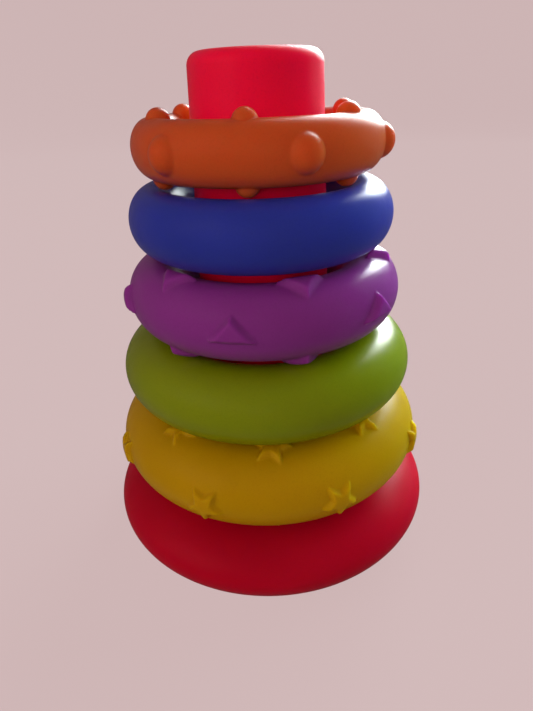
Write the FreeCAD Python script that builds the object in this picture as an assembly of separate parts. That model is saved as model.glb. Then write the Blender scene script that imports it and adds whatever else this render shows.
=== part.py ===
"""Stacking ring toy: a red post on a round base, with five hollow rings of falling size.

Units are millimetres. The origin is on the table under the post, and +Z points up along the post.
An azimuth is in degrees from -Y, turning towards +X. A section angle goes round a ring's own cross
section: 0 is the outer side, 90 the crown, 180 the side that faces the post and -90 the underside.
"""
import math
import os

import FreeCAD
import Part

V = FreeCAD.Vector
ORIGIN = V(0, 0, 0)
UP = V(0, 0, 1)

# Post: a hollow tapered tube with a closed top, held under the base by a flange.
POST_TOP_Z = 190.6
POST_TOP_RADIUS = 23.0
POST_TAPER = 0.0313
POST_WALL = 2.4
POST_EDGE_ROUND = 4.5
FLANGE_RADIUS = 34.0
FLANGE_LOW_Z = 6.0
FLANGE_HIGH_Z = 8.5

# Base: a domed shell with an elliptic section, closed from below by a screwed cover.
BASE_RADIUS = 70.0
BASE_HALF_WIDTH = 23.2
BASE_HALF_HEIGHT = 14.1
BASE_WALL = 2.4
COVER_TOP_Z = 3.0
COVER_RECESS = 1.0
FOOT_INNER_RADIUS = 41.0
FOOT_OUTER_RADIUS = 55.0
CLAMP_RADIUS = 33.0
POST_CLEARANCE = 0.15
COLLAR_WALL = 2.2

# Screws that hold the cover on: four, in blind pilot holes in bosses inside the shell.
SCREW_COUNT = 4
SCREW_CIRCLE_RADIUS = 48.0
SCREW_FIRST_AZIMUTH = 45.0
SCREW_HEAD_RADIUS = 3.0
SCREW_HEAD_HEIGHT = 1.6
SCREW_SHANK_RADIUS = 1.5
SCREW_TIP_Z = 14.0
SCREW_HOLE_CLEARANCE = 0.3
SCREW_SEAT_Z = 2.0
PILOT_RADIUS = 1.6
DRIVE_SLOT_LENGTH = 4.0
DRIVE_SLOT_WIDTH = 0.8
DRIVE_SLOT_DEPTH = 0.9
BOSS_RADIUS = 4.0
BOSS_TOP_Z = 27.0

# Rings: one blow-moulded skin each, so each is hollow and sealed.
RING_WALL = 1.8
RING_HOLE_RADIUS = 29.6
PLAIN_COUNT = 4
YELLOW = {"radius": 64.0, "half_height": 15.9, "centre_z": 46.6}
GREEN = {"radius": 59.1, "half_height": 14.1, "centre_z": 79.0}
PURPLE = {"radius": 52.9, "half_height": 13.35, "centre_z": 109.3}
BLUE = {"radius": 49.1, "half_height": 11.9, "centre_z": 137.3}
ORANGE = {"radius": 44.9, "half_height": 9.8, "centre_z": 161.8}

# Orange ring: round domes, large ones round the outside and small ones above and below.
DOME_COUNT = 6
DOME_START_AZIMUTH = -23.5
DOME_AZIMUTH = 18.5
DOME_SMALL_AZIMUTH = -6.0
DOME_BASE_RADIUS = 5.3
DOME_HEIGHT = 3.0
DOME_SMALL_BASE_RADIUS = 4.0
DOME_SMALL_HEIGHT = 3.4
DOME_SMALL_SECTION = 105.0

# Purple ring: raised triangles with sloping sides, in the same three rows.
TRIANGLE_COUNT = 6
TRIANGLE_START_AZIMUTH = -27.0
TRIANGLE_AZIMUTH = -12.0
TRIANGLE_END_AZIMUTH = 16.5
TRIANGLE_WIDTH = 14.5
TRIANGLE_HEIGHT = 7.5
TRIANGLE_SECTION = 4.0
TRIANGLE_RELIEF = 2.3
TRIANGLE_END_SECTION = 78.0

# Yellow ring: low five-pointed stars, in the same three rows.
STAR_COUNT = 8
STAR_START_AZIMUTH = -33.5
STAR_AZIMUTH = -22.5
STAR_END_AZIMUTH = 1.0
STAR_POINTS = 5
STAR_TIP_RADIUS = 7.0
STAR_NOTCH_RADIUS = 3.4
STAR_RELIEF = 1.9
STAR_END_SECTION = 85.0
STAR_TURN = 180.0
STAR_END_TURN = -13.0

# Raised tiles: the bar that forms one starts inside the skin and narrows outwards.
TILE_DEPTH = 5.0
TILE_REACH = 5.0
TILE_NARROWING = 0.035


def ring_half_width(ring):
    """Radial half width of a ring's section, from its outside to the hole round the post."""
    return (ring["radius"] - RING_HOLE_RADIUS) / 2


def section_face(centre_radius, centre_z, half_width, half_height):
    """An upright ellipse in the XZ plane, as a face with an edge for each quarter."""
    centre = V(centre_radius, 0, centre_z)
    wide = centre + V(half_width, 0, 0)
    tall = centre + V(0, 0, half_height)
    ellipse = Part.Ellipse(wide, tall, centre) if half_width > half_height else Part.Ellipse(tall, wide, centre)
    quarters = []
    for quarter in range(4):
        start = quarter * math.pi / 2
        quarters.append(Part.ArcOfEllipse(ellipse, start, start + math.pi / 2).toShape())
    return Part.Face(Part.Wire(quarters))


def swept_section(ring, offset, start_azimuth, sweep):
    """Solid swept by a ring's section, grown by an offset, over an arc round the post."""
    half_width = ring_half_width(ring)
    centre_radius = ring["radius"] - half_width
    face = section_face(centre_radius, ring["centre_z"], half_width + offset, ring["half_height"] + offset)
    face.rotate(ORIGIN, UP, start_azimuth - 90)
    return face.revolve(ORIGIN, UP, sweep)


def outward(azimuth):
    """Unit vector away from the post at an azimuth."""
    angle = math.radians(azimuth)
    return V(math.sin(angle), -math.cos(angle), 0)


def surface_point(ring, azimuth, section):
    """Point on a ring's plain surface."""
    half_width = ring_half_width(ring)
    angle = math.radians(section)
    distance = ring["radius"] - half_width + half_width * math.cos(angle)
    return outward(azimuth) * distance + UP * (ring["centre_z"] + ring["half_height"] * math.sin(angle))


def surface_frame(ring, azimuth, section):
    """Outward normal, sideways direction and direction of growing section angle on a ring."""
    angle = math.radians(section)
    radial = outward(azimuth)
    normal = radial * (math.cos(angle) / ring_half_width(ring)) + UP * (math.sin(angle) / ring["half_height"])
    normal.normalize()
    sideways = outward(azimuth + 90)
    rising = sideways.cross(normal)
    rising.normalize()
    if rising.dot(UP * math.cos(angle) - radial * math.sin(angle)) < 0:
        rising = rising * -1
    return normal, sideways, rising


def dome(ring, azimuth, section, base_radius, height):
    """A spherical dome standing out of a ring."""
    normal = surface_frame(ring, azimuth, section)[0]
    sphere_radius = (base_radius ** 2 + height ** 2) / (2 * height)
    centre = surface_point(ring, azimuth, section) + normal * (height - sphere_radius)
    return Part.makeSphere(sphere_radius, centre)


def polygon_face(points):
    """A flat face from its corner points."""
    return Part.Face(Part.makePolygon(points + [points[0]]))


def tile(ring, azimuth, section, corners, raised):
    """A raised shape of even relief, from its outline as (across, rising) distances from its middle."""
    normal, sideways, rising = surface_frame(ring, azimuth, section)
    middle = surface_point(ring, azimuth, section)
    outlines = []
    for height in (-TILE_DEPTH, TILE_REACH):
        scale = 1 - TILE_NARROWING * height
        level = middle + normal * height
        points = [level + sideways * (across * scale) + rising * (up * scale) for across, up in corners]
        outlines.append(Part.makePolygon(points + [points[0]]))
    return raised.common(Part.makeLoft(outlines, True, True))


def triangle_corners(way):
    """Outline of a triangle whose tip points the way the section angle grows (1) or falls (-1)."""
    tip = TRIANGLE_HEIGHT * 2 / 3
    foot = tip - TRIANGLE_HEIGHT
    return [(0, way * tip), (-TRIANGLE_WIDTH / 2, way * foot), (TRIANGLE_WIDTH / 2, way * foot)]


def star_corners(turn):
    """Outline of a star, turned from having one tip the way the section angle grows."""
    corners = []
    for step in range(2 * STAR_POINTS):
        reach = STAR_NOTCH_RADIUS if step % 2 else STAR_TIP_RADIUS
        angle = math.radians(90 + turn + 180 * step / STAR_POINTS)
        corners.append((reach * math.cos(angle), reach * math.sin(angle)))
    return corners


def azimuths(count, first):
    """Evenly spaced azimuths round the post."""
    return [first + 360 * step / count for step in range(count)]


def hollow_ring(ring, bumps, count, start_azimuth):
    """A hollow ring made of equal arcs, each with the same raised shapes."""
    sweep = 360 / count
    arc = swept_section(ring, 0, start_azimuth, sweep)
    if bumps:
        arc = arc.multiFuse(bumps)
    arc = arc.cut(swept_section(ring, -RING_WALL, start_azimuth, sweep))
    arcs = []
    for step in range(count):
        turned = arc.copy()
        turned.rotate(ORIGIN, UP, sweep * step)
        arcs.append(turned)
    return arcs[0].multiFuse(arcs[1:])


def orange_ring():
    """Ring with a large dome outside and small ones on its crown and underside, in each arc."""
    bumps = [dome(ORANGE, DOME_AZIMUTH, 0, DOME_BASE_RADIUS, DOME_HEIGHT)]
    for section in (DOME_SMALL_SECTION, -DOME_SMALL_SECTION):
        bumps.append(dome(ORANGE, DOME_SMALL_AZIMUTH, section, DOME_SMALL_BASE_RADIUS, DOME_SMALL_HEIGHT))
    return hollow_ring(ORANGE, bumps, DOME_COUNT, DOME_START_AZIMUTH)


def purple_ring():
    """Ring with a triangle outside, one on its crown and one on its underside, in each arc."""
    raised = swept_section(PURPLE, TRIANGLE_RELIEF, TRIANGLE_START_AZIMUTH, 360 / TRIANGLE_COUNT)
    bumps = [tile(PURPLE, TRIANGLE_AZIMUTH, TRIANGLE_SECTION, triangle_corners(1), raised)]
    for side in (1, -1):
        section = side * TRIANGLE_END_SECTION
        bumps.append(tile(PURPLE, TRIANGLE_END_AZIMUTH, section, triangle_corners(-side), raised))
    return hollow_ring(PURPLE, bumps, TRIANGLE_COUNT, TRIANGLE_START_AZIMUTH)


def yellow_ring():
    """Ring with a low star outside, one on its crown and one on its underside, in each arc."""
    raised = swept_section(YELLOW, STAR_RELIEF, STAR_START_AZIMUTH, 360 / STAR_COUNT)
    bumps = [tile(YELLOW, STAR_AZIMUTH, 0, star_corners(STAR_TURN), raised)]
    for section in (STAR_END_SECTION, -STAR_END_SECTION):
        bumps.append(tile(YELLOW, STAR_END_AZIMUTH, section, star_corners(STAR_END_TURN), raised))
    return hollow_ring(YELLOW, bumps, STAR_COUNT, STAR_START_AZIMUTH)


def post_radius(z):
    """Outer radius of the tapered post at a height."""
    return POST_TOP_RADIUS + POST_TAPER * (POST_TOP_Z - z)


def revolved(points):
    """Solid of revolution about the post's axis, from a closed outline of (radius, height) points."""
    corners = [V(radius, 0, z) for radius, z in points]
    return polygon_face(corners).revolve(ORIGIN, UP, 360)


def post():
    """Hollow post with a rounded closed top and the flange that the base holds."""
    body = Part.makeCone(post_radius(FLANGE_LOW_Z), POST_TOP_RADIUS, POST_TOP_Z - FLANGE_LOW_Z,
                         V(0, 0, FLANGE_LOW_Z))
    top_edges = [edge for edge in body.Edges if edge.BoundBox.ZMin > POST_TOP_Z - 1]
    body = body.makeFillet(POST_EDGE_ROUND, top_edges)
    flange = Part.makeCylinder(FLANGE_RADIUS, FLANGE_HIGH_Z - FLANGE_LOW_Z, V(0, 0, FLANGE_LOW_Z))
    body = body.fuse(flange)
    core_top = POST_TOP_Z - POST_WALL
    core = Part.makeCone(post_radius(FLANGE_LOW_Z) - POST_WALL, post_radius(core_top) - POST_WALL,
                         core_top - FLANGE_LOW_Z, V(0, 0, FLANGE_LOW_Z))
    core_edges = [edge for edge in core.Edges if edge.BoundBox.ZMin > core_top - 1]
    core = core.makeFillet(POST_EDGE_ROUND - POST_WALL, core_edges)
    return body.cut(core)


def base_arc(offset, start, end):
    """Part of the base's elliptic section, between two section angles in radians."""
    centre = V(BASE_RADIUS - BASE_HALF_WIDTH, 0, BASE_HALF_HEIGHT)
    half_width = BASE_HALF_WIDTH + offset
    half_height = BASE_HALF_HEIGHT + offset
    ellipse = Part.Ellipse(centre + V(half_width, 0, 0), centre + V(0, 0, half_height), centre)
    return Part.ArcOfEllipse(ellipse, start, end).toShape()


def cylinder_at(radius, low_z, high_z, spot):
    """Upright cylinder between two heights, centred over a spot."""
    return Part.makeCylinder(radius, high_z - low_z, V(spot.x, spot.y, low_z))


def screw_spots():
    """Centres of the cover screws, on the table plane."""
    return [outward(azimuth) * SCREW_CIRCLE_RADIUS for azimuth in azimuths(SCREW_COUNT, SCREW_FIRST_AZIMUTH)]


def base_arc_between(offset, low_z, inner_radius):
    """The base's section from a low outer height, over the crown, to a radius near the post."""
    centre_radius = BASE_RADIUS - BASE_HALF_WIDTH
    start = math.asin((low_z - BASE_HALF_HEIGHT) / (BASE_HALF_HEIGHT + offset))
    end = math.acos((inner_radius - centre_radius) / (BASE_HALF_WIDTH + offset))
    return base_arc(offset, start, end)


def base_shell():
    """Domed shell, open underneath, with a collar round the post and bosses for the screws."""
    bore_low = post_radius(FLANGE_HIGH_Z) + POST_CLEARANCE
    bore_high = post_radius(BASE_HALF_HEIGHT * 2) + POST_CLEARANCE
    collar_radius = bore_low + COLLAR_WALL
    outer = base_arc_between(0, COVER_TOP_Z, bore_high)
    inner = base_arc_between(-BASE_WALL, COVER_TOP_Z, collar_radius)
    outer_low, outer_high = outer.Vertexes[0].Point, outer.Vertexes[-1].Point
    inner_low, inner_high = inner.Vertexes[0].Point, inner.Vertexes[-1].Point
    collar_in = V(bore_low, 0, FLANGE_HIGH_Z)
    collar_out = V(collar_radius, 0, FLANGE_HIGH_Z)
    outline = Part.Wire([
        outer,
        Part.makeLine(outer_high, collar_in),
        Part.makeLine(collar_in, collar_out),
        Part.makeLine(collar_out, inner_high),
        inner,
        Part.makeLine(inner_low, outer_low),
    ])
    body = Part.Face(outline).revolve(ORIGIN, UP, 360)
    body = body.multiFuse([cylinder_at(BOSS_RADIUS, COVER_TOP_Z, BOSS_TOP_Z, spot) for spot in screw_spots()])
    return body.cut([cylinder_at(PILOT_RADIUS, 0, SCREW_TIP_Z + 1, spot) for spot in screw_spots()])


def base_cover():
    """Flat cover that closes the shell, presses the post's flange home and carries the toy's weight."""
    rim = base_arc_between(0, COVER_TOP_Z, BASE_RADIUS - BASE_HALF_WIDTH).Vertexes[0].Point
    clamp_inner = post_radius(0) - POST_WALL
    body = revolved([
        (0, COVER_RECESS),
        (FOOT_INNER_RADIUS, COVER_RECESS),
        (FOOT_INNER_RADIUS, 0),
        (FOOT_OUTER_RADIUS, 0),
        (rim.x, COVER_TOP_Z),
        (CLAMP_RADIUS, COVER_TOP_Z),
        (CLAMP_RADIUS, FLANGE_LOW_Z),
        (clamp_inner, FLANGE_LOW_Z),
        (clamp_inner, COVER_TOP_Z),
        (0, COVER_TOP_Z),
    ])
    cuts = []
    for spot in screw_spots():
        cuts.append(cylinder_at(SCREW_SHANK_RADIUS + SCREW_HOLE_CLEARANCE, 0, COVER_TOP_Z, spot))
        cuts.append(cylinder_at(SCREW_HEAD_RADIUS + SCREW_HOLE_CLEARANCE, 0, SCREW_SEAT_Z, spot))
    return body.cut(cuts)


def cover_screw(spot):
    """One cross-head screw, pointing up into its boss."""
    head_low_z = SCREW_SEAT_Z - SCREW_HEAD_HEIGHT
    head = cylinder_at(SCREW_HEAD_RADIUS, head_low_z, SCREW_SEAT_Z, spot)
    rim = [edge for edge in head.Edges if edge.BoundBox.ZMax < head_low_z + 0.1]
    head = head.makeFillet(SCREW_HEAD_HEIGHT / 2, rim)
    shank = cylinder_at(SCREW_SHANK_RADIUS, head_low_z + SCREW_HEAD_HEIGHT / 2, SCREW_TIP_Z, spot)
    tip = [edge for edge in shank.Edges if edge.BoundBox.ZMin > SCREW_TIP_Z - 0.1]
    shank = shank.makeChamfer(SCREW_SHANK_RADIUS / 2, tip)
    slots = []
    for length, width in ((DRIVE_SLOT_LENGTH, DRIVE_SLOT_WIDTH), (DRIVE_SLOT_WIDTH, DRIVE_SLOT_LENGTH)):
        corner = V(spot.x - length / 2, spot.y - width / 2, head_low_z)
        slots.append(Part.makeBox(length, width, DRIVE_SLOT_DEPTH, corner))
    return head.fuse(shank).cut(slots)


def main():
    """Build every piece and write one file for each."""
    nodes = {
        "base_shell": base_shell(),
        "base_cover": base_cover(),
        "cover_screws": Part.Compound([cover_screw(spot) for spot in screw_spots()]),
        "post": post(),
        "ring_yellow": yellow_ring(),
        "ring_green": hollow_ring(GREEN, [], PLAIN_COUNT, 0),
        "ring_purple": purple_ring(),
        "ring_blue": hollow_ring(BLUE, [], PLAIN_COUNT, 0),
        "ring_orange": orange_ring(),
    }
    os.makedirs("parts", exist_ok=True)
    for name, shape in nodes.items():
        shape.exportStep("parts/" + name + ".step")
        print(name, "solids", len(shape.Solids), "valid", shape.isValid(), "volume", round(shape.Volume))


main()
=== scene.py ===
"""Looks of the stacking ring toy: smooth moulded rings, satin plastic, studio floor, lights and camera.

Metres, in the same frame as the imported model: the origin on the floor under the post, +Z up.
An azimuth is in degrees from -Y, turning towards +X; a section angle goes round a ring's own cross
section, with 0 on the outer side and 90 on the crown.
"""

import math

import bpy
import numpy as np
from mathutils import Matrix, Vector


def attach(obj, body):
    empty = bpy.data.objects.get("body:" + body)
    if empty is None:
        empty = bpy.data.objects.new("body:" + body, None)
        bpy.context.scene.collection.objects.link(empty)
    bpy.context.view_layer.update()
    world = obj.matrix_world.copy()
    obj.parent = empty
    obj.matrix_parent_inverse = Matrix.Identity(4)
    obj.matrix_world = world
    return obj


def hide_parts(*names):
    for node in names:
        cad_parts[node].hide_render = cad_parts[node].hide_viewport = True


MM = 0.001

# Rings, in millimetres: outer radius, half height and centre height. round and across are the mesh's
# points round the post and round the ring's own section.
RING_HOLE_RADIUS = 29.6
RINGS = {
    "yellow": {"radius": 64.0, "half_height": 15.9, "centre_z": 46.6, "round": 840, "across": 176},
    "green": {"radius": 59.1, "half_height": 14.1, "centre_z": 79.0, "round": 288, "across": 96},
    "purple": {"radius": 52.9, "half_height": 13.35, "centre_z": 109.3, "round": 780, "across": 156},
    "blue": {"radius": 49.1, "half_height": 11.9, "centre_z": 137.3, "round": 288, "across": 96},
    "orange": {"radius": 44.9, "half_height": 9.8, "centre_z": 161.8, "round": 720, "across": 144},
}

# Raised shapes, in millimetres and degrees. A wall is the width of a flat tile's sloping side, and no
# shape reaches further than SHAPE_REACH from its middle.
DOME_COUNT = 6
DOME_ROWS = [
    {"azimuth": 18.5, "section": 0.0, "base_radius": 5.3, "height": 3.0},
    {"azimuth": -6.0, "section": 105.0, "base_radius": 4.0, "height": 3.4},
    {"azimuth": -6.0, "section": -105.0, "base_radius": 4.0, "height": 3.4},
]
DOME_FILLET = 0.5
TRIANGLE_COUNT = 6
TRIANGLE_ROWS = [
    {"azimuth": -12.0, "section": 4.0, "way": 1},
    {"azimuth": 16.5, "section": 78.0, "way": -1},
    {"azimuth": 16.5, "section": -78.0, "way": 1},
]
TRIANGLE_WIDTH = 14.5
TRIANGLE_HEIGHT = 7.5
TRIANGLE_RELIEF = 2.3
TRIANGLE_WALL = 2.4
STAR_COUNT = 8
STAR_ROWS = [
    {"azimuth": -22.5, "section": 0.0, "turn": 180.0},
    {"azimuth": 1.0, "section": 85.0, "turn": -13.0},
    {"azimuth": 1.0, "section": -85.0, "turn": -13.0},
]
STAR_POINTS = 5
STAR_TIP_RADIUS = 7.0
STAR_NOTCH_RADIUS = 3.4
STAR_RELIEF = 1.9
STAR_WALL = 1.5
SHAPE_REACH = 12.0


def rgb(red, green, blue):
    """Linear colour with full opacity."""
    return (red, green, blue, 1.0)


# Gloss and inner scatter of the plastics: the rings, the duller pieces and the post.
RING_LOOK = {"roughness": 0.36, "specular": 0.3, "scatter": 0.6, "coat": 0.12, "coat_roughness": 0.22}
DULL_LOOK = {"roughness": 0.42, "specular": 0.14, "scatter": 0.5, "coat": 0.04, "coat_roughness": 0.25}
POST_LOOK = {"roughness": 0.42, "specular": 0.3, "scatter": 0.4, "coat": 0.08, "coat_roughness": 0.25}

# Each plastic's pigment, how far red, green and blue light travels inside it in metres, and its look.
RING_PLASTICS = {
    "orange": (rgb(0.46, 0.070, 0.010), (0.016, 0.006, 0.002), RING_LOOK),
    "blue": (rgb(0.018, 0.034, 0.285), (0.002, 0.003, 0.012), RING_LOOK),
    "purple": (rgb(0.20, 0.026, 0.21), (0.010, 0.002, 0.010), RING_LOOK),
    "green": (rgb(0.165, 0.222, 0.0), (0.008, 0.012, 0.001), RING_LOOK),
    "yellow": (rgb(0.395, 0.238, 0.0), (0.014, 0.010, 0.001), DULL_LOOK),
}
# The base and the post are one red plastic. The post's pigment is painted brighter, a painted glow of light
# shining through it from behind, and the base's pigment is painted darker, painted shade under the rings.
BASE_RED_PAINTED_SHADE = (rgb(0.385, 0.0, 0.013), (0.014, 0.001, 0.002), DULL_LOOK)
POST_RED_PAINTED_GLOW = (rgb(0.94, 0.0, 0.038), (0.016, 0.001, 0.002), POST_LOOK)

# Uneven pigment: how much paler and deeper it gets, and the least that a paler patch adds. The paler colour
# is also the painted sheen on convex edges.
PALER = 1.3
PALER_LEAST = 0.004
DEEPER = 0.8

# Surface patterns of the plastic, in features per metre.
DRIFT_SCALE = 22.0
SPECK_SCALE = 1700.0
GRAIN_SCALE = 1900.0
SMUDGE_SCALE = 75.0
SCUFF_SCALES = (2600.0, 160.0, 900.0)

# Studio: pale paper that glows evenly, in metres.
FLOOR_Z = -0.0003
FLOOR_RADIUS = 1.7
FLOOR_INNER_RADII = (0.02, 0.3)
WALL_BEND = 0.6
WALL_BEND_STEPS = 12
WALL_TOP = 4.0
STUDIO_STEPS = 96
PAPER_COLOUR = rgb(0.04, 0.035, 0.035)
PAPER_GLOW = rgb(0.60, 0.452, 0.452)
SKY_COLOUR = rgb(1.0, 0.75, 0.8)
SKY_STRENGTH = 0.14

# Lights: the suns point towards their patch of sky, and the soft lights from place to target.
WINDOW = {"towards": (0.395, 0.854, 0.343), "strength": 3.8, "spread": 30.0, "colour": (0.92, 1.0, 1.0)}
SIDE_WINDOW = {"towards": (0.80, 0.52, 0.25), "strength": 5.0, "spread": 50.0, "colour": (0.75, 1.0, 1.0)}
SKY_GLINT = {"towards": (0.35, 0.75, 0.55), "strength": 1.6, "spread": 40.0, "colour": (0.95, 1.0, 1.0)}
FRONT_FILL = {"place": (-1.4, -0.85, 0.8), "target": (0.0, 0.0, 0.1), "width": 1.5, "height": 1.2,
              "power": 12.5, "colour": (1.0, 0.75, 0.72)}
LOW_FILL = {"place": (-0.1, -1.0, 0.42), "target": (0.0, 0.0, 0.13), "width": 0.5, "height": 0.34,
            "power": 4.4, "colour": (1.0, 0.82, 0.8)}

# Camera, in degrees, millimetres for the lens and sensor, and metres for the rest.
CAMERA_PITCH = 27.3
CAMERA_ROLL = 2.2
CAMERA_LENS = 26.4
CAMERA_SENSOR = 36.0
CAMERA_CLIP = (0.01, 20.0)
CAMERA_PLACE = (0.0, -0.2013, 0.1795)


def outward(azimuth):
    """Unit vector away from the post at an azimuth in degrees."""
    angle = math.radians(azimuth)
    return np.array([math.sin(angle), -math.cos(angle), 0.0])


def ring_frame(ring, azimuth, section):
    """Point, outward normal, sideways and rising directions on a ring's plain surface."""
    half_width = (ring["radius"] - RING_HOLE_RADIUS) / 2
    angle = math.radians(section)
    radial = outward(azimuth)
    up = np.array([0.0, 0.0, 1.0])
    distance = ring["radius"] - half_width + half_width * math.cos(angle)
    point = radial * distance + up * (ring["centre_z"] + ring["half_height"] * math.sin(angle))
    normal = radial * (math.cos(angle) / half_width) + up * (math.sin(angle) / ring["half_height"])
    normal /= np.linalg.norm(normal)
    sideways = outward(azimuth + 90)
    rising = -np.cross(sideways, normal)
    if np.dot(rising, up * math.cos(angle) - radial * math.sin(angle)) < 0:
        rising = -rising
    return point, normal, sideways, rising


def ring_grid(ring):
    """Points and normals of a ring's plain surface, as (round, across, 3) arrays in millimetres."""
    half_width = (ring["radius"] - RING_HOLE_RADIUS) / 2
    azimuth = np.linspace(0, 2 * np.pi, ring["round"], endpoint=False)[:, None]
    section = np.linspace(0, 2 * np.pi, ring["across"], endpoint=False)[None, :]
    distance = ring["radius"] - half_width + half_width * np.cos(section)
    height = ring["centre_z"] + ring["half_height"] * np.sin(section) + 0 * azimuth
    points = np.stack([np.sin(azimuth) * distance, -np.cos(azimuth) * distance, height], -1)
    flat = np.cos(section) / half_width
    rise = np.sin(section) / ring["half_height"]
    normals = np.stack([np.sin(azimuth) * flat, -np.cos(azimuth) * flat, rise + 0 * azimuth], -1)
    normals /= np.linalg.norm(normals, axis=-1, keepdims=True)
    return points, normals


def ease(value):
    """Smooth step from 0 to 1."""
    value = np.clip(value, 0, 1)
    return value * value * (3 - 2 * value)


def outline_depth(across, rising, corners):
    """Distance inside a closed outline, negative outside it."""
    nearest = np.full(across.shape, 1e9)
    inside = np.zeros(across.shape, bool)
    for (x0, y0), (x1, y1) in zip(corners, corners[1:] + corners[:1]):
        run, climb = x1 - x0, y1 - y0
        share = np.clip(((across - x0) * run + (rising - y0) * climb) / (run * run + climb * climb), 0, 1)
        gap = np.hypot(across - x0 - share * run, rising - y0 - share * climb)
        nearest = np.minimum(nearest, gap)
        crosses = (y0 > rising) != (y1 > rising)
        level = np.where(climb == 0, 1e-9, climb)
        inside ^= crosses & (across < x0 + (rising - y0) * run / level)
    return np.where(inside, nearest, -nearest)


def tile_heights(points, ring, azimuth, section, corners, relief, wall):
    """Height of one raised tile over every point of a ring."""
    middle, normal, sideways, rising_way = ring_frame(ring, azimuth, section)
    offset = points - middle
    close = np.linalg.norm(offset, axis=-1) < SHAPE_REACH
    heights = np.zeros(points.shape[:-1])
    near = offset[close]
    depth = outline_depth(near @ sideways, near @ rising_way, corners)
    heights[close] = relief * ease((depth + wall / 2) / wall)
    return heights


def dome_heights(points, normals, ring, azimuth, section, base_radius, height):
    """Height of one spherical dome over every point of a ring, with a small fillet at its foot."""
    middle, normal = ring_frame(ring, azimuth, section)[:2]
    sphere_radius = (base_radius ** 2 + height ** 2) / (2 * height)
    centre = middle + normal * (height - sphere_radius)
    close = np.linalg.norm(points - middle, axis=-1) < SHAPE_REACH
    heights = np.zeros(points.shape[:-1])
    offset = centre - points[close]
    along = np.sum(offset * normals[close], -1)
    clear = sphere_radius ** 2 - (np.sum(offset * offset, -1) - along ** 2)
    rise = np.where(clear > 0, along + np.sqrt(np.maximum(clear, 0)), -1.0)
    mix = np.clip(0.5 + rise / (2 * DOME_FILLET), 0, 1)
    heights[close] = rise * mix + DOME_FILLET * mix * (1 - mix)
    return np.maximum(heights, 0)


def triangle_corners(way):
    """Outline of a triangle whose tip points the way the section angle grows (1) or falls (-1)."""
    tip = TRIANGLE_HEIGHT * 2 / 3
    foot = tip - TRIANGLE_HEIGHT
    return [(0.0, way * tip), (-TRIANGLE_WIDTH / 2, way * foot), (TRIANGLE_WIDTH / 2, way * foot)]


def star_corners(turn):
    """Outline of a star, turned from having one tip the way the section angle grows."""
    corners = []
    for step in range(2 * STAR_POINTS):
        reach = STAR_NOTCH_RADIUS if step % 2 else STAR_TIP_RADIUS
        angle = math.radians(90 + turn + 180 * step / STAR_POINTS)
        corners.append((reach * math.cos(angle), reach * math.sin(angle)))
    return corners


def row_azimuths(row, count):
    """Azimuths of a row's evenly spaced shapes."""
    return [row["azimuth"] + 360 * step / count for step in range(count)]


def raised_heights(name, points, normals):
    """Height of every raised shape on a ring."""
    ring = RINGS[name]
    heights = np.zeros(points.shape[:-1])
    if name == "orange":
        for row in DOME_ROWS:
            for azimuth in row_azimuths(row, DOME_COUNT):
                bump = dome_heights(points, normals, ring, azimuth, row["section"],
                                    row["base_radius"], row["height"])
                heights = np.maximum(heights, bump)
    if name == "purple":
        for row in TRIANGLE_ROWS:
            for azimuth in row_azimuths(row, TRIANGLE_COUNT):
                bump = tile_heights(points, ring, azimuth, row["section"], triangle_corners(row["way"]),
                                    TRIANGLE_RELIEF, TRIANGLE_WALL)
                heights = np.maximum(heights, bump)
    if name == "yellow":
        for row in STAR_ROWS:
            for azimuth in row_azimuths(row, STAR_COUNT):
                bump = tile_heights(points, ring, azimuth, row["section"], star_corners(row["turn"]),
                                    STAR_RELIEF, STAR_WALL)
                heights = np.maximum(heights, bump)
    return heights


def grid_object(name, points):
    """Smooth-shaded closed mesh from a (round, across, 3) grid of points in millimetres."""
    count, across = points.shape[:2]
    index = np.arange(count * across).reshape(count, across)
    beside = np.roll(index, -1, 0)
    faces = np.stack([index, beside, np.roll(beside, -1, 1), np.roll(index, -1, 1)], -1).reshape(-1, 4)
    mesh = bpy.data.meshes.new(name)
    mesh.vertices.add(count * across)
    mesh.vertices.foreach_set("co", (points.reshape(-1) * MM).astype(np.float32))
    mesh.loops.add(faces.size)
    mesh.loops.foreach_set("vertex_index", faces.reshape(-1).astype(np.int32))
    mesh.polygons.add(len(faces))
    mesh.polygons.foreach_set("loop_start", np.arange(0, faces.size, 4, dtype=np.int32))
    mesh.polygons.foreach_set("use_smooth", np.ones(len(faces), bool))
    mesh.update(calc_edges=True)
    mesh.validate()
    obj = bpy.data.objects.new(name, mesh)
    bpy.context.scene.collection.objects.link(obj)
    return obj


def ring_object(name):
    """A ring with its raised shapes, standing for the CAD ring of the same colour."""
    points, normals = ring_grid(RINGS[name])
    heights = raised_heights(name, points, normals)
    obj = grid_object("ring_" + name + "_skin", points + normals * heights[..., None])
    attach(obj, name)
    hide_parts("ring_" + name)
    return obj


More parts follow.
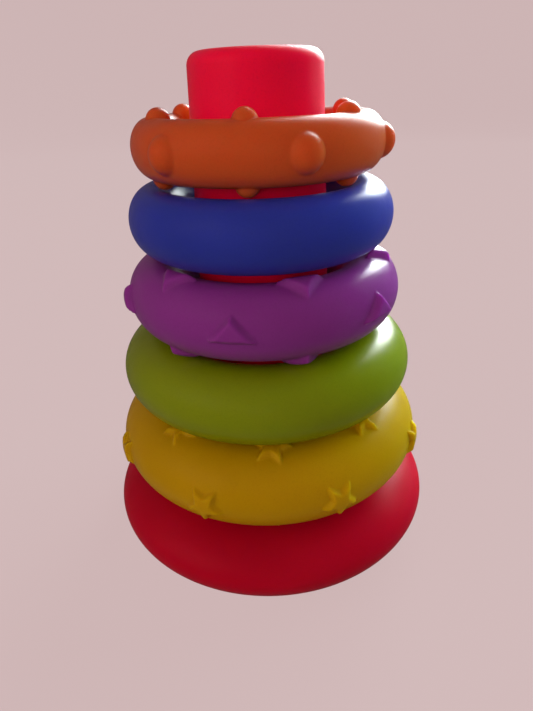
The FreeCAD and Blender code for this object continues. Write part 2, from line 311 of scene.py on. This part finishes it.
class Shader:
    """A material's node tree, built by short calls."""

    def __init__(self, name):
        self.material = bpy.data.materials.new(name)
        self.material.use_nodes = True
        self.tree = self.material.node_tree
        self.surface = self.tree.nodes["Principled BSDF"]
        self.place = self.tree.nodes.new("ShaderNodeTexCoord").outputs["Object"]

    def feed(self, socket, value):
        """Links a socket to an output, or sets its value."""
        if isinstance(value, bpy.types.NodeSocket):
            self.tree.links.new(value, socket)
        else:
            socket.default_value = value

    def stretched(self, scale):
        """Object coordinates scaled unevenly, for streaks."""
        node = self.tree.nodes.new("ShaderNodeMapping")
        self.feed(node.inputs["Vector"], self.place)
        node.inputs["Scale"].default_value = scale
        return node.outputs["Vector"]

    def noise(self, scale, detail=3.0, roughness=0.5, place=None):
        """Noise from about 0.3 to 0.7; scale is in features per metre."""
        node = self.tree.nodes.new("ShaderNodeTexNoise")
        self.feed(node.inputs["Vector"], self.place if place is None else place)
        node.inputs["Scale"].default_value = scale
        node.inputs["Detail"].default_value = detail
        node.inputs["Roughness"].default_value = roughness
        return node.outputs["Fac"]

    def remap(self, value, low, high, to_low, to_high):
        """A value mapped from one range to another and held inside it."""
        node = self.tree.nodes.new("ShaderNodeMapRange")
        node.interpolation_type = "SMOOTHSTEP"
        self.feed(node.inputs["Value"], value)
        node.inputs["From Min"].default_value = low
        node.inputs["From Max"].default_value = high
        node.inputs["To Min"].default_value = to_low
        node.inputs["To Max"].default_value = to_high
        return node.outputs["Result"]

    def mix(self, amount, first, second):
        """Blend of two colours."""
        node = self.tree.nodes.new("ShaderNodeMix")
        node.data_type = "RGBA"
        self.feed(node.inputs["Factor"], amount)
        self.feed(node.inputs["A"], first)
        self.feed(node.inputs["B"], second)
        return node.outputs["Result"]

    def sums(self, *values):
        """Sum of several values."""
        total = values[0]
        for value in values[1:]:
            node = self.tree.nodes.new("ShaderNodeMath")
            node.operation = "ADD"
            self.feed(node.inputs[0], total)
            self.feed(node.inputs[1], value)
            total = node.outputs[0]
        return total

    def painted_edge_sheen(self, low, high, most):
        """Painted edge sheen: 0 on flat and hollow places, rising to the most on convex edges."""
        point = self.tree.nodes.new("ShaderNodeNewGeometry").outputs["Pointiness"]
        return self.remap(point, low, high, 0.0, most)

    def bump(self, height, distance, strength):
        """Surface relief of a height field, over what it already has."""
        node = self.tree.nodes.new("ShaderNodeBump")
        node.inputs["Strength"].default_value = strength
        node.inputs["Distance"].default_value = distance
        self.feed(node.inputs["Height"], height)
        if self.surface.inputs["Normal"].links:
            self.feed(node.inputs["Normal"], self.surface.inputs["Normal"].links[0].from_socket)
        self.feed(self.surface.inputs["Normal"], node.outputs["Normal"])


def moulded_plastic(name, body, glow, look):
    """Satin translucent toy plastic with faint uneven pigment, fine grain, scuffs, smudges and a painted
    sheen on convex edges.

    body is the pigment's colour, and glow is how far red, green and blue light travels inside, in metres.
    look holds the gloss and the strength of the inner scatter.
    """
    shader = Shader(name)
    light = rgb(*[min(1.0, part * PALER + PALER_LEAST) for part in body[:3]])
    dark = rgb(*[part * DEEPER for part in body[:3]])
    drift = shader.remap(shader.noise(DRIFT_SCALE, 2.0), 0.3, 0.7, 0.0, 0.35)
    specks = shader.remap(shader.noise(SPECK_SCALE, 2.0), 0.45, 0.75, 0.0, 0.3)
    scratches = shader.noise(1.0, 5.0, 0.7, shader.stretched(SCUFF_SCALES))
    scuffs = shader.remap(scratches, 0.6, 0.72, 0.0, 1.0)
    smudges = shader.remap(shader.noise(SMUDGE_SCALE, 4.0, 0.6), 0.42, 0.7, 0.0, 1.0)
    colour = shader.mix(drift, body, light)
    colour = shader.mix(specks, colour, dark)
    # Scuffs are real wear; the convex-edge lightening is a painted highlight, as if light glanced off the
    # edges.
    scuffs_and_edge_sheen = shader.sums(shader.remap(scuffs, 0.0, 1.0, 0.0, 0.08), shader.painted_edge_sheen(0.54, 0.66, 0.22))
    colour = shader.mix(scuffs_and_edge_sheen, colour, light)
    surface = shader.surface.inputs
    shader.feed(surface["Base Color"], colour)
    rough = shader.sums(
        shader.remap(smudges, 0.0, 1.0, look["roughness"] - 0.04, look["roughness"] + 0.07),
        shader.remap(scuffs, 0.0, 1.0, 0.0, 0.1),
    )
    shader.feed(surface["Roughness"], rough)
    surface["IOR"].default_value = 1.5
    surface["Specular IOR Level"].default_value = look["specular"]
    surface["Subsurface Weight"].default_value = look["scatter"]
    surface["Subsurface Radius"].default_value = glow
    surface["Subsurface Scale"].default_value = 1.0
    surface["Coat Weight"].default_value = look["coat"]
    surface["Coat Roughness"].default_value = look["coat_roughness"]
    shader.bump(shader.noise(DRIFT_SCALE, 1.0), 0.0006, 0.6)
    shader.bump(shader.noise(GRAIN_SCALE, 3.0, 0.6), 0.00003, 0.55)
    shader.bump(scuffs, 0.00002, 0.4)
    return shader.material


def screw_steel(name):
    """Zinc-plated steel with a fine brushed grain."""
    shader = Shader(name)
    grain = shader.noise(1.0, 4.0, 0.6, shader.stretched((9000.0, 700.0, 9000.0)))
    surface = shader.surface.inputs
    shader.feed(surface["Base Color"], shader.mix(shader.remap(grain, 0.3, 0.7, 0.0, 1.0),
                                                  rgb(0.42, 0.42, 0.44), rgb(0.66, 0.65, 0.62)))
    surface["Metallic"].default_value = 1.0
    shader.feed(surface["Roughness"], shader.remap(grain, 0.3, 0.7, 0.25, 0.45))
    shader.bump(grain, 0.00002, 0.5)
    return shader.material


def repaint(obj, material):
    """Gives an object one material in every slot."""
    obj.data.materials.clear()
    obj.data.materials.append(material)


def studio_bowl():
    """Seamless pale floor that curves up into a wall all round."""
    steps = STUDIO_STEPS
    profile = [(radius, 0.0) for radius in (*FLOOR_INNER_RADII, FLOOR_RADIUS)]
    for step in range(1, WALL_BEND_STEPS + 1):
        angle = math.radians(90 * step / WALL_BEND_STEPS)
        profile.append((FLOOR_RADIUS + WALL_BEND * math.sin(angle), WALL_BEND - WALL_BEND * math.cos(angle)))
    profile.append((FLOOR_RADIUS + WALL_BEND, WALL_TOP))
    vertices = [(0.0, 0.0, FLOOR_Z)]
    faces = []
    for radius, height in profile:
        for step in range(steps):
            angle = 2 * math.pi * step / steps
            vertices.append((radius * math.cos(angle), radius * math.sin(angle), height + FLOOR_Z))
    for step in range(steps):
        faces.append((0, 1 + step, 1 + (step + 1) % steps))
    for level in range(len(profile) - 1):
        low = 1 + level * steps
        for step in range(steps):
            beside = (step + 1) % steps
            faces.append((low + step, low + steps + step, low + steps + beside, low + beside))
    mesh = bpy.data.meshes.new("studio_bowl")
    mesh.from_pydata(vertices, [], faces)
    mesh.polygons.foreach_set("use_smooth", [True] * len(faces))
    obj = bpy.data.objects.new("studio_bowl", mesh)
    bpy.context.scene.collection.objects.link(obj)
    shader = Shader("studio_paper")
    surface = shader.surface.inputs
    surface["Base Color"].default_value = PAPER_COLOUR
    surface["Emission Color"].default_value = PAPER_GLOW
    surface["Emission Strength"].default_value = 1.0
    surface["Roughness"].default_value = 0.9
    surface["Specular IOR Level"].default_value = 0.0
    repaint(obj, shader.material)
    obj.visible_shadow = False
    obj.visible_glossy = False
    obj.visible_diffuse = False


def wide_sun(name, towards, strength, spread, colour):
    """Distant window light that comes from a wide patch of sky; towards points at it."""
    data = bpy.data.lights.new(name, "SUN")
    data.energy = strength
    data.angle = math.radians(spread)
    data.color = colour
    obj = bpy.data.objects.new(name, data)
    obj.rotation_mode = "QUATERNION"
    obj.rotation_quaternion = Vector(towards).to_track_quat("Z", "Y")
    bpy.context.scene.collection.objects.link(obj)
    return obj


def soft_light(name, place, target, width, height, power, colour):
    """Rectangular soft light that the camera doesn't see."""
    data = bpy.data.lights.new(name, "AREA")
    data.shape = "RECTANGLE"
    data.size, data.size_y = width, height
    data.energy = power
    data.color = colour
    obj = bpy.data.objects.new(name, data)
    obj.location = place
    obj.rotation_mode = "QUATERNION"
    obj.rotation_quaternion = (Vector(target) - Vector(place)).to_track_quat("-Z", "Y")
    obj.visible_camera = False
    bpy.context.scene.collection.objects.link(obj)
    return obj


def photo_camera():
    """Camera close in front of the toy, a little below the post's top, looking down at the base."""
    pitch, roll = math.radians(CAMERA_PITCH), math.radians(CAMERA_ROLL)
    ahead = Vector((0, math.cos(pitch), -math.sin(pitch)))
    level = Vector((1, 0, 0))
    above = Vector((0, math.sin(pitch), math.cos(pitch)))
    right = level * math.cos(roll) - above * math.sin(roll)
    up = level * math.sin(roll) + above * math.cos(roll)
    data = bpy.data.cameras.new("camera")
    data.lens = CAMERA_LENS
    data.sensor_width = CAMERA_SENSOR
    data.clip_start, data.clip_end = CAMERA_CLIP
    obj = bpy.data.objects.new("camera", data)
    turn = Matrix((right, up, -ahead)).transposed()
    obj.matrix_world = Matrix.Translation(Vector(CAMERA_PLACE)) @ turn.to_4x4()
    bpy.context.scene.collection.objects.link(obj)
    bpy.context.scene.camera = obj


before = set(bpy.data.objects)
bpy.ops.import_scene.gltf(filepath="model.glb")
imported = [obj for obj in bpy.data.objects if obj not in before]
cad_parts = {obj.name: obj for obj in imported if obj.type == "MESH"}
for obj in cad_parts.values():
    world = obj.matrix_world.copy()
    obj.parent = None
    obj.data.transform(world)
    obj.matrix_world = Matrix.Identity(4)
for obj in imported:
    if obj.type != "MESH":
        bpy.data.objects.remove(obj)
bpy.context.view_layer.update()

for ring_name, plastic in RING_PLASTICS.items():
    repaint(ring_object(ring_name), moulded_plastic("plastic_" + ring_name, *plastic))

# One red plastic in two copies: the base with painted shade, the post with a painted back-lit glow.
shaded_base_red = moulded_plastic("red_plastic_painted_shade", *BASE_RED_PAINTED_SHADE)
repaint(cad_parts["base_shell"], shaded_base_red)
repaint(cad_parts["base_cover"], shaded_base_red)
repaint(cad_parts["post"], moulded_plastic("red_plastic_painted_glow", *POST_RED_PAINTED_GLOW))
repaint(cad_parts["cover_screws"], screw_steel("screw_steel"))

studio_bowl()
wide_sun("window", **WINDOW)
side = wide_sun("side_window", **SIDE_WINDOW)
front = soft_light("front_fill", **FRONT_FILL)
low = soft_light("low_fill", **LOW_FILL)
for light in (side, front, low):
    light.visible_glossy = False
glint = wide_sun("sky_glint", **SKY_GLINT)
glint.visible_diffuse = False
photo_camera()

world = bpy.data.worlds.new("studio")
world.use_nodes = True
world.node_tree.nodes["Background"].inputs["Color"].default_value = SKY_COLOUR
world.node_tree.nodes["Background"].inputs["Strength"].default_value = SKY_STRENGTH
bpy.context.scene.world = world
bpy.context.scene.view_settings.view_transform = "Standard"
